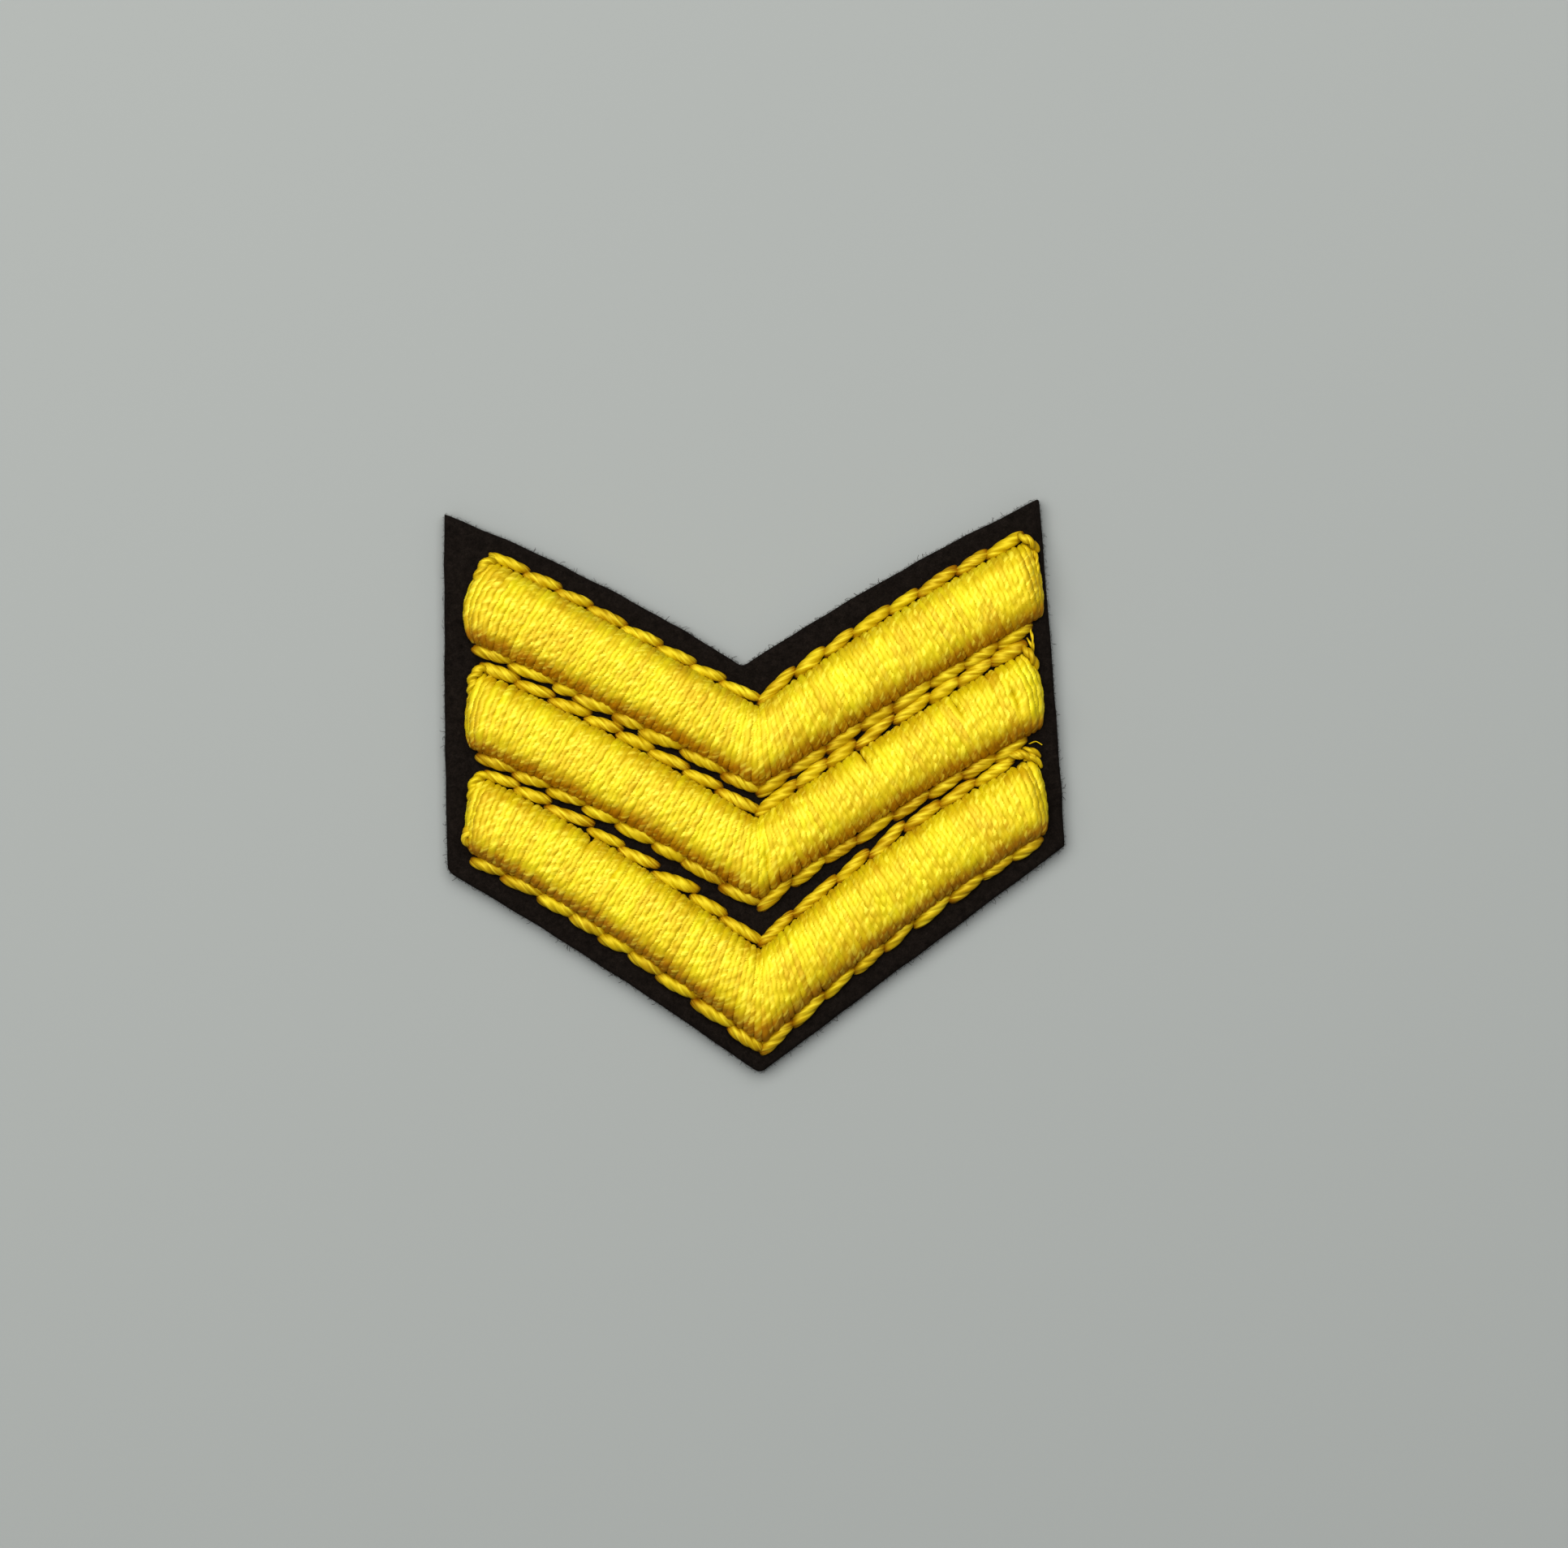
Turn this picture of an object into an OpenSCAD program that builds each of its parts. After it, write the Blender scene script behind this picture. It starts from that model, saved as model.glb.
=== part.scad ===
// Rank patch: three padded satin chevrons, each outlined by stitched rows, on a cut felt backing.
// It lies on its back, face up, with the open V of the chevrons towards +Y.

/* [Patch] */
// Width across the felt's two lower corners
patch_w = 44.8; // [36:0.4:60]
// Thickness of the felt
felt_t = 1.2; // [1:0.1:2]

/* [Satin chevrons] */
// Height of the padded satin above the felt
satin_h = 2.0; // [0.8:0.1:2.4]
// Fullness of the satin's section, where 2 is a half ellipse and more is squarer
satin_fullness = 2.6; // [2:0.1:4]
// Height left where a satin chevron ends, as a share of its full height
end_share = 0.45; // [0.2:0.05:0.9]
// Length over which the satin drops at its ends
end_slope_l = 1.5; // [0.5:0.1:3]
// How far the threads lean away from straight up and down in the middle of an arm
thread_lean = 1.2; // [0:0.1:1.6]

/* [Stitched outlines] */
// Width of an outline row
row_w = 0.76; // [0.5:0.02:0.8]
// Height of an outline row above the felt
row_h = 0.5; // [0.3:0.05:0.7]
// Length of one outline stitch
stitch_l = 2.6; // [1.5:0.1:4]
// Width and height left where two stitches meet, as a share
stitch_pinch = 0.55; // [0.3:0.05:0.9]
// Clear space between an outline row and the satin beside it
row_gap = 0.1; // [0.05:0.01:0.3]

/* [Hidden] */

// Patch width for which the tables below give places, and the growth from it to the chosen width
drawn_w = 44.8;
grow = patch_w / drawn_w;

// Corners of the felt, clockwise from the top left one
// [x, y, length that the corner is blunted by, bow of the edge to the next corner]
felt_corners = [
    [-21.5, 20.7, 0.1, 0.6],
    [-0.4, 8.7, 0.8, 0.4],
    [21.6, 19.9, 0.2, 0.1],
    [22.4, -5.3, 0.1, 0],
    [-0.4, -20.83, 0.5, -0.3],
    [-22.4, -5.2, 0.5, 0.1],
];
edge_steps = 8;
corner_steps = 3;

// Centre lines of the six outline rows, from the top one down, each with two arms and an apex
// [apex, left end, bow of the left arm, right end, bow of the right arm]
seams = [
    [[0.6, 6.2], [-18.2, 17.8], 0.1, [20.3, 17.2], 0.6],
    [[0.4, -0.4], [-19.6, 10.9], 0.3, [20.6, 10.7], 0.3],
    [[0.2, -1.9], [-19.2, 9.6], 0.4, [20.1, 9.3], 0.4],
    [[0, -8.6], [-19.7, 3.1], 0.5, [19.9, 2.5], 0.5],
    [[0, -11.4], [-19.3, 1.9], 0.7, [18.9, 1.0], 0.8],
    [[-0.2, -19.1], [-20.4, -4.3], 0.8, [20.6, -4.8], 0.8],
];
apex = 0;
left = 1;
right = 3;

// Ends of each satin chevron, left and right
// [x of its upper corner, x of its lower corner, how far its end bulges out between them]
satin_ends = [
    [[-18.8, -20.0, 0.9], [21.3, 21.6, 0.1]],
    [[-19.9, -20.4, 0.4], [20.8, 21.1, 0.3]],
    [[-20.3, -20.8, 0.3], [20.9, 21.2, 0.2]],
];

// Places along an arm where the satin has a section, from the apex (0) to the end (1)
arm_steps = 14;
arm_stations = [for (i = [1 : arm_steps]) 0.94 * i / arm_steps, 0.965, 0.985, 1];
satin_stations = concat([for (i = [len(arm_stations) - 1 : -1 : 0]) -arm_stations[i]], [0], arm_stations);
// Places across the satin where a section has a point, from the upper edge (-1) to the lower (1)
crown_points = [-1, -0.96, -0.82, -0.6, -0.3, 0, 0.3, 0.6, 0.82, 0.96, 1];
under_points = [0.5, 0, -0.5];

// Places along one stitch and angles round it where an outline row has a section and its points
stitch_stations = [0, 0.18, 0.5, 0.82];
row_angles = [0, 36, 72, 108, 144, 180];

function mix(a, b, t) = a + (b - a) * t;
function unit(v) = v / norm(v);
function smooth(t) = let (c = min(max(t, 0), 1)) c * c * (3 - 2 * c);
function mean(points) = [for (p = points) 1] * points / len(points);

// Which arm of a seam a place x is on
function arm_of(seam, x) = x < seam[apex].x ? left : right;

// Height and slope of a seam at a place x
function seam_y(seam, x) =
    let (arm = arm_of(seam, x), end = seam[arm], bow = seam[arm + 1],
         t = (x - seam[apex].x) / (end.x - seam[apex].x))
    mix(seam[apex].y, end.y, t) + 4 * bow * t * (1 - t);
function seam_slope(seam, x) =
    let (arm = arm_of(seam, x), end = seam[arm], bow = seam[arm + 1], run = end.x - seam[apex].x,
         t = (x - seam[apex].x) / run)
    (end.y - seam[apex].y + 4 * bow * (1 - 2 * t)) / run;

// A point on the edge of the satin that lies beside a seam, below it (-1) or above it (1)
function rail(seam, x, side) =
    [x, seam_y(seam, x) + side * (row_w / 2 + row_gap) / grow * norm([1, seam_slope(seam, x)])];

// A closed solid through rings of points, with a fan over each end
module loft(rings) {
    n = len(rings[0]);
    last = len(rings) - 1;
    points = concat([for (ring = rings) each ring], [mean(rings[0]), mean(rings[last])]);
    sides = [for (i = [0 : last - 1], k = [0 : n - 1])
        let (a = i * n + k, b = i * n + (k + 1) % n) each [[a, a + n, b], [b, a + n, b + n]]];
    caps = [for (k = [0 : n - 1])
        each [[(last + 1) * n, k, (k + 1) % n],
              [(last + 1) * n + 1, last * n + (k + 1) % n, last * n + k]]];
    polyhedron(points, concat(sides, caps));
}

// One section of a satin chevron at station s, along a thread from the upper edge to the lower
function satin_ring(above, below, ends, s) =
    let (side = s < 0 ? -1 : 1,
         end = ends[s < 0 ? 0 : 1],
         away = abs(s),
         fan = thread_lean * (1 - pow(abs(2 * away - 1), 4)),
         top = rail(above, mix(above[apex].x, end[0], away) - side * fan, -1),
         foot = rail(below, mix(below[apex].x, end[1], away) + side * fan, 1),
         from_end = (1 - away) * abs(end[0] - above[apex].x),
         rise = smooth(from_end / end_slope_l),
         height = satin_h * mix(end_share, 1, rise),
         bulge = [side * end[2] * smooth(1 - from_end / (3 * end_slope_l)), 0])
    [for (u = crown_points)
        let (p = grow * (mix(top, foot, (u + 1) / 2) + bulge * (1 - u * u)))
        [p.x, p.y, felt_t + height * sqrt(max(0, 1 - pow(abs(u), satin_fullness)))],
     for (u = under_points)
        let (p = grow * (mix(top, foot, (u + 1) / 2) + bulge * (1 - u * u))) [p.x, p.y, felt_t]];

module satin_chevron(k) {
    color("#f2d41c")
        loft([for (s = satin_stations) satin_ring(seams[2 * k], seams[2 * k + 1], satin_ends[k], s)]);
}

// Places x along one arm of a seam where its stitches have a section, from the apex outwards
function arm_places(seam, arm) =
    let (stitches = round(grow * norm(seam[arm] - seam[apex]) / stitch_l))
    [for (i = [0 : stitches - 1], q = stitch_stations)
        [mix(seam[apex].x, seam[arm].x, (i + q) / stitches), q]];

// One section of an outline row at a place x, where q says how far along its stitch that is
function row_ring(seam, x, q) =
    let (at_apex = x == seam[apex].x,
         slope = at_apex ? 0 : seam_slope(seam, x),
         miter = at_apex ? norm([1, seam_slope(seam, x)]) : 1,
         full = mix(stitch_pinch, 1, sqrt(sin(180 * q))),
         across = unit([-slope, 1]) * row_w / 2 * full * miter,
         middle = grow * [x, seam_y(seam, x)])
    [for (a = row_angles)
        let (p = middle + across * cos(a)) [p.x, p.y, felt_t + row_h * full * sin(a)]];

module outline_row(seam) {
    left_places = arm_places(seam, left);
    right_places = arm_places(seam, right);
    rings = concat(
        [row_ring(seam, seam[left].x, 0)],
        [for (i = [len(left_places) - 1 : -1 : 0]) row_ring(seam, left_places[i][0], left_places[i][1])],
        [for (i = [1 : len(right_places) - 1]) row_ring(seam, right_places[i][0], right_places[i][1])],
        [row_ring(seam, seam[right].x, 0)]);
    color("#d9b91e") loft(rings);
}

// The felt's edge from one corner to the next, between the two blunted corners
function edge_points(from, to) =
    let (start = [from.x, from.y], end = [to.x, to.y], run = end - start,
         outward = unit([-run.y, run.x]), t0 = from[2] / norm(run), t1 = 1 - to[2] / norm(run))
    [for (i = [0 : edge_steps]) let (t = mix(t0, t1, i / edge_steps))
        start + run * t + outward * 4 * from[3] * t * (1 - t)];

// The blunt corner that joins the end of one edge to the start of the next
function corner_points(a, corner, b) =
    [for (i = [1 : corner_steps - 1]) let (t = i / corner_steps)
        mix(mix(a, corner, t), mix(corner, b, t), t)];

module felt_backing() {
    count = len(felt_corners);
    edges = [for (i = [0 : count - 1]) edge_points(felt_corners[i], felt_corners[(i + 1) % count])];
    outline = [for (i = [0 : count - 1])
        let (next = felt_corners[(i + 1) % count])
        each concat(edges[i], corner_points(edges[i][edge_steps], [next.x, next.y], edges[(i + 1) % count][0]))];
    color("#1a1614") linear_extrude(felt_t) polygon(grow * outline);
}

module top_chevron() { satin_chevron(0); }
module middle_chevron() { satin_chevron(1); }
module bottom_chevron() { satin_chevron(2); }
module top_upper_outline() { outline_row(seams[0]); }
module top_lower_outline() { outline_row(seams[1]); }
module middle_upper_outline() { outline_row(seams[2]); }
module middle_lower_outline() { outline_row(seams[3]); }
module bottom_upper_outline() { outline_row(seams[4]); }
module bottom_lower_outline() { outline_row(seams[5]); }

felt_backing();
top_chevron();
middle_chevron();
bottom_chevron();
top_upper_outline();
top_lower_outline();
middle_upper_outline();
middle_lower_outline();
bottom_upper_outline();
bottom_lower_outline();
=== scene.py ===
# Rank patch: three padded gold satin chevrons with stitched outlines on a cut felt backing.
# It lies face up in metres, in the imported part's own frame, with the open V towards +Y.
import math
import random

import bpy
import numpy as np
from mathutils import Matrix, Vector, geometry, noise


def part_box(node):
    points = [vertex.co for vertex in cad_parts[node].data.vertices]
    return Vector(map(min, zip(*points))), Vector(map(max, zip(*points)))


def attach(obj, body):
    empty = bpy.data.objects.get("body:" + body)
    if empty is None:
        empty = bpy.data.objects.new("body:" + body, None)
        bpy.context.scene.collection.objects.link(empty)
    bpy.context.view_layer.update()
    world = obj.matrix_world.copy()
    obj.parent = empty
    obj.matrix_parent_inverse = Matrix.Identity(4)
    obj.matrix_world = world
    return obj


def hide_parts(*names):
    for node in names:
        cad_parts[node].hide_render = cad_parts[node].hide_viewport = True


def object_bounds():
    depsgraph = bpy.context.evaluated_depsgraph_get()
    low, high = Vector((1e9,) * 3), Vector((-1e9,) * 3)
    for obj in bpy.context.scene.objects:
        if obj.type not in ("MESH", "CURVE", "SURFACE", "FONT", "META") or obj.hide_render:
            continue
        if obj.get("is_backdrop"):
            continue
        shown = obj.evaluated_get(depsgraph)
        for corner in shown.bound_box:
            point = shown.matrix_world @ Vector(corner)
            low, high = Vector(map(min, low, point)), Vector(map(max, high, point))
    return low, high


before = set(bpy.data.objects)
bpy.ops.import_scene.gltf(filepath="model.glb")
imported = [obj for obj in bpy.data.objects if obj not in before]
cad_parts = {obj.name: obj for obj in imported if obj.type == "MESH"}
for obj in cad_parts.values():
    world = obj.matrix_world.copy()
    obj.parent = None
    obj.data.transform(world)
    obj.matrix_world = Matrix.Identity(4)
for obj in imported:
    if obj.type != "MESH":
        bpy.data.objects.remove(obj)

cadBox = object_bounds()
mm = 0.001

# Places on the patch, in mm at its drawn width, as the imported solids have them
patch = {
    "drawnWidth": 44.788,  # from one side corner of the felt to the other, as they are blunted
    # corners of the felt, clockwise from the top left: x, y, blunted length, bow of the edge to the next
    "feltCorners": [
        (-21.5, 20.7, 0.1, 0.6), (-0.4, 8.7, 0.4, 0.4), (21.6, 19.9, 0.2, 0.1),
        (22.4, -5.3, 0.1, 0.0), (-0.4, -20.83, 0.5, -0.3), (-22.4, -5.2, 0.5, 0.1),
    ],
    # centre lines of the outline rows from the top: apex, left end, bow, right end, bow
    "seams": [
        ((0.6, 6.2), (-18.2, 17.8), 0.1, (20.3, 17.2), 0.6),
        ((0.4, -0.4), (-19.6, 10.9), 0.3, (20.6, 10.7), 0.3),
        ((0.2, -1.9), (-19.2, 9.6), 0.4, (20.1, 9.3), 0.4),
        ((0.0, -8.6), (-19.7, 3.1), 0.5, (19.9, 2.5), 0.5),
        ((0.0, -11.4), (-19.3, 1.9), 0.7, (18.9, 1.0), 0.8),
        ((-0.2, -19.1), (-20.4, -4.3), 0.8, (20.6, -4.8), 0.8),
    ],
    # left and right end of each satin chevron: x of the upper corner, x of the lower, bulge between
    "satinEnds": [
        ((-18.8, -20.0, 0.9), (21.3, 21.6, 0.1)),
        ((-19.9, -20.4, 0.4), (20.8, 21.1, 0.3)),
        ((-20.3, -20.8, 0.3), (20.9, 21.2, 0.2)),
    ],
    "threadLean": 1.2,     # how far a thread leans from upright in the middle of an arm
    "rowWidth": 0.76,
    "rowGap": 0.1,         # between a row and the satin beside it
    "endShare": 0.45,      # share of the height left at the ends of the satin
    "endSlope": 1.5,       # length over which the satin drops at its ends
    "bulgeReach": 4.5,     # length over which the bulge of an end dies out
    "satinFullness": 2.6,  # of its section, where 2 would be a half ellipse
}
chevronNames = ["top", "middle", "bottom"]
rowNames = [f"{name}_{edge}_outline" for name in chevronNames for edge in ("upper", "lower")]

feltLow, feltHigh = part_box("felt_backing")
grow = (feltHigh.x - feltLow.x) / mm / patch["drawnWidth"]
feltTop = feltHigh.z / mm
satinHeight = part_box("top_chevron")[1].z / mm - feltTop


def mix(a, b, t):
    return a + (b - a) * t


def smooth(t):
    t = min(max(t, 0), 1)
    return t * t * (3 - 2 * t)


def linearColour(hexColour):
    parts = [int(hexColour[i:i + 2], 16) / 255 for i in (1, 3, 5)]
    return (*[c / 12.92 if c <= 0.04045 else ((c + 0.055) / 1.055) ** 2.4 for c in parts], 1)


def addNode(tree, kind, inputs=None, **settings):
    # one node with its settings, and its inputs as values or as links from other nodes
    made = tree.nodes.new(kind)
    for name, value in settings.items():
        setattr(made, name, value)
    for key, value in (inputs or {}).items():
        named = [s for s in made.inputs if s.enabled and s.name == key]
        socket = named[0] if named else made.inputs[key]
        if isinstance(value, bpy.types.Node):
            value = next(s for s in value.outputs if s.enabled)
        if isinstance(value, bpy.types.NodeSocket):
            tree.links.new(value, socket)
        else:
            socket.default_value = value
    return made


def newTree(name, inputs, output):
    # an empty Geometry Nodes tree with named inputs, and the outlets that give their values
    tree = bpy.data.node_groups.new(name, "GeometryNodeTree")
    for key, kind, value in inputs:
        socket = tree.interface.new_socket(name=key, in_out="INPUT", socket_type=kind)
        if value is not None:
            socket.default_value = value
    tree.interface.new_socket(name=output, in_out="OUTPUT", socket_type="NodeSocketGeometry")
    return tree, addNode(tree, "NodeGroupInput").outputs


def newMaterial(name, roughness):
    material = bpy.data.materials.new(name)
    material.use_nodes = True
    shader = material.node_tree.nodes["Principled BSDF"]
    shader.inputs["Roughness"].default_value = roughness
    return material, material.node_tree, shader


def colourAndBump(tree, shader, share, dark, light, height, strength, depth):
    # a surface whose colour goes from dark to light with a share, with bumps that are some mm deep
    colour = addNode(tree, "ShaderNodeMix", {"Factor": share, "A": dark, "B": light}, data_type="RGBA")
    tree.links.new(colour.outputs[2], shader.inputs["Base Color"])
    bump = addNode(tree, "ShaderNodeBump", {"Height": height, "Strength": strength, "Distance": depth * mm})
    tree.links.new(bump.outputs[0], shader.inputs["Normal"])


def linkObject(name, mesh):
    made = bpy.data.objects.new(name, mesh)
    bpy.context.scene.collection.objects.link(made)
    return made


# Camera and light

view = {
    "centre": (2.29, 0.80),    # mm, point of the patch in the middle of the picture
    "turn": -2.5,              # degrees that the camera is turned about its own line of sight
    "width": 113.65,           # mm across the picture at the felt's top
    "distance": 240,           # mm
    "look": "High Contrast",
}
studio = {
    # one large soft light beyond the top of the picture, and an even pale sky, in metres and watts
    "keySize": (0.77, 0.51), "keyPlace": (-0.055, 0.15, 0.41), "keyPower": 3.05, "keyColour": "#fffdf6",
    "skyColour": "#eef2f4", "skyStrength": 0.25,
    "floorSize": 6.0, "floorColour": "#999c9d",
}


def setCamera():
    lens = bpy.data.cameras.new("camera")
    lens.sensor_width = 36
    lens.lens = lens.sensor_width * view["distance"] / view["width"]
    lens.clip_start = 0.01
    camera = bpy.data.objects.new("camera", lens)
    x, y = view["centre"]
    camera.location = (x * mm, y * mm, (feltTop + view["distance"]) * mm)
    camera.rotation_euler = (0, 0, math.radians(view["turn"]))
    bpy.context.scene.collection.objects.link(camera)
    bpy.context.scene.camera = camera
    bpy.context.scene.view_settings.view_transform = "Standard"
    bpy.context.scene.view_settings.look = view["look"]


def floorMaterial():
    # plain matt studio board
    material, _, shader = newMaterial("studioBoard", 0.95)
    shader.inputs["Base Color"].default_value = linearColour(studio["floorColour"])
    shader.inputs["Specular IOR Level"].default_value = 0.2
    return material


def setStudio():
    key = bpy.data.lights.new("key", "AREA")
    key.shape = "RECTANGLE"
    key.size, key.size_y = studio["keySize"]
    key.energy = studio["keyPower"]
    key.color = linearColour(studio["keyColour"])[:3]
    lamp = bpy.data.objects.new("key", key)
    lamp.location = studio["keyPlace"]
    lamp.rotation_euler = (-Vector(studio["keyPlace"])).to_track_quat("-Z", "Y").to_euler()
    bpy.context.scene.collection.objects.link(lamp)
    world = bpy.data.worlds.new("sky")
    world.use_nodes = True
    background = world.node_tree.nodes["Background"]
    background.inputs["Color"].default_value = linearColour(studio["skyColour"])
    background.inputs["Strength"].default_value = studio["skyStrength"]
    bpy.context.scene.world = world
    half = studio["floorSize"] / 2
    mesh = bpy.data.meshes.new("floor")
    corners = [(-half, -half, 0), (half, -half, 0), (half, half, 0), (-half, half, 0)]
    mesh.from_pydata(corners, [], [(0, 1, 2, 3)])
    mesh.materials.append(floorMaterial())
    linkObject("floor", mesh)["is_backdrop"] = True


setCamera()
setStudio()
print("camera and studio set")


# Lines that the stitching follows, in mm

def seamArm(seam, x):
    place = 1 if x < seam[0][0] else 3
    return seam[place], seam[place + 1]


def seamY(seam, x):
    apex, (end, bow) = seam[0], seamArm(seam, x)
    t = (x - apex[0]) / (end[0] - apex[0])
    return mix(apex[1], end[1], t) + 4 * bow * t * (1 - t)


def seamSlope(seam, x):
    apex, (end, bow) = seam[0], seamArm(seam, x)
    run = end[0] - apex[0]
    t = (x - apex[0]) / run
    return (end[1] - apex[1] + 4 * bow * (1 - 2 * t)) / run


def rail(seam, x, side):
    # edge of the satin beside a seam, below it (-1) or above it (1)
    away = (patch["rowWidth"] / 2 + patch["rowGap"]) * math.hypot(1, seamSlope(seam, x))
    return Vector((x, seamY(seam, x) + side * away))


def satinLine(k, side, away):
    # ends of the thread at a share of the way from the apex to the end, its height and its bulge
    above, below = patch["seams"][2 * k], patch["seams"][2 * k + 1]
    upperEnd, lowerEnd, bulge = patch["satinEnds"][k][0 if side < 0 else 1]
    fan = patch["threadLean"] * (1 - abs(2 * away - 1) ** 4)
    top = rail(above, mix(above[0][0], upperEnd, away) - side * fan, -1)
    foot = rail(below, mix(below[0][0], lowerEnd, away) + side * fan, 1)
    fromEnd = (1 - away) * abs(upperEnd - above[0][0])
    height = satinHeight * mix(patch["endShare"], 1, smooth(fromEnd / patch["endSlope"]))
    return top, foot, height, side * bulge * smooth(1 - fromEnd / patch["bulgeReach"])


def domePoint(top, foot, bulge, u, base, height, fullness=patch["satinFullness"]):
    # point across the satin from its upper edge (-1) to its lower (1)
    x, y = mix(top, foot, (u + 1) / 2) * grow
    crown = math.sqrt(max(0, 1 - abs(u) ** fullness))
    return Vector((x + bulge * (1 - u * u) * grow, y, base + height * crown))


# Thread made of plies: one tree for the satin, the outlines and the loose threads

def pliedThreadTree():
    tree, given = newTree("pliedThread", [
        ("Paths", "NodeSocketGeometry", None),
        ("Width", "NodeSocketFloat", 0.0005),          # across all its plies
        ("Plies", "NodeSocketInt", 2),
        ("Ply Spread", "NodeSocketFloat", 0.7),        # how far apart they lie, in their own radii
        ("Twist Pitch", "NodeSocketFloat", 0.0018),    # length of one full turn
        ("Pitch Variation", "NodeSocketFloat", 0.15),
        ("Wobble", "NodeSocketFloat", 0.00003),
        ("Wobble Length", "NodeSocketFloat", 0.0015),
        ("End Width", "NodeSocketFloat", 0.5),         # share of the width left at the ends
        ("End Taper", "NodeSocketFloat", 0.3),         # 1 is a lens, and near 0 only the tips narrow
        ("Rings", "NodeSocketInt", 40),
        ("Sides", "NodeSocketInt", 12),
        ("Seed", "NodeSocketInt", 1),
        ("Material", "NodeSocketMaterial", None),
    ], "Threads")

    # section: as many round lobes as there are plies, half a unit across at the widest
    circle = addNode(tree, "GeometryNodeCurvePrimitiveCircle",
                     {"Resolution": given["Sides"], "Radius": 1.0})
    around = addNode(tree, "GeometryNodeInputPosition")
    marked = addNode(tree, "GeometryNodeStoreNamedAttribute",
                     {"Geometry": circle, "Name": "around", "Value": around}, data_type="FLOAT_VECTOR")
    axes = addNode(tree, "ShaderNodeSeparateXYZ", {0: around}).outputs
    angle = addNode(tree, "ShaderNodeMath", {0: axes["Y"], 1: axes["X"]}, operation="ARCTAN2")
    half = addNode(tree, "ShaderNodeMath", {0: math.pi, 1: given["Plies"]}, operation="DIVIDE")
    minus = addNode(tree, "ShaderNodeMath", {0: half, 1: -1.0}, operation="MULTIPLY")
    lobe = addNode(tree, "ShaderNodeMath", {0: angle, 1: half, 2: minus}, operation="WRAP")
    cosine = addNode(tree, "ShaderNodeMath", {0: lobe}, operation="COSINE")
    sine = addNode(tree, "ShaderNodeMath", {0: lobe}, operation="SINE")
    reach = addNode(tree, "ShaderNodeMath", {0: cosine, 1: given["Ply Spread"]}, operation="MULTIPLY")
    offset = addNode(tree, "ShaderNodeMath", {0: sine, 1: given["Ply Spread"]}, operation="MULTIPLY")
    squared = addNode(tree, "ShaderNodeMath", {0: offset, 1: offset}, operation="MULTIPLY")
    rest = addNode(tree, "ShaderNodeMath", {0: 1.0, 1: squared}, operation="SUBTRACT")
    root = addNode(tree, "ShaderNodeMath", {0: rest}, operation="SQRT")
    lobed = addNode(tree, "ShaderNodeMath", {0: reach, 1: root}, operation="ADD")
    widest = addNode(tree, "ShaderNodeMath", {0: given["Ply Spread"], 1: 1.0}, operation="ADD")
    double = addNode(tree, "ShaderNodeMath", {0: widest, 1: 2.0}, operation="MULTIPLY")
    share = addNode(tree, "ShaderNodeMath", {0: lobed, 1: double}, operation="DIVIDE")
    rim = addNode(tree, "ShaderNodeVectorMath", {0: around, "Scale": share}, operation="SCALE")
    section = addNode(tree, "GeometryNodeSetPosition", {"Geometry": marked, "Position": rim})

    # path: evenly spaced rings, with a small wobble that differs from thread to thread
    curve = addNode(tree, "GeometryNodeMeshToCurve", {"Mesh": given["Paths"]})
    spaced = addNode(tree, "GeometryNodeResampleCurve", {"Curve": curve, "Count": given["Rings"]})
    along = addNode(tree, "GeometryNodeSplineParameter").outputs
    thread = addNode(tree, "GeometryNodeInputNamedAttribute", {"Name": "thread"}, data_type="INT")
    wave = addNode(tree, "ShaderNodeMath", {0: 1.0, 1: given["Wobble Length"]}, operation="DIVIDE")
    place = addNode(tree, "GeometryNodeInputPosition")
    apart = addNode(tree, "ShaderNodeMath", {0: thread, 1: 7.31}, operation="MULTIPLY")
    cloud = addNode(tree, "ShaderNodeTexNoise", {"Vector": place, "W": apart, "Scale": wave, "Detail": 1.0},
                    noise_dimensions="4D")
    centred = addNode(tree, "ShaderNodeVectorMath",
                      {0: cloud.outputs["Color"], 1: (0.5, 0.5, 0.5)}, operation="SUBTRACT")
    push = addNode(tree, "ShaderNodeVectorMath", {0: centred, "Scale": given["Wobble"]}, operation="SCALE")
    # the noise stays within about a quarter of its middle, so it is drawn out to the full wobble
    drawnOut = addNode(tree, "ShaderNodeVectorMath", {0: push, "Scale": 4.0}, operation="SCALE")
    wobbled = addNode(tree, "GeometryNodeSetPosition", {"Geometry": spaced, "Offset": drawnOut})

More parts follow.
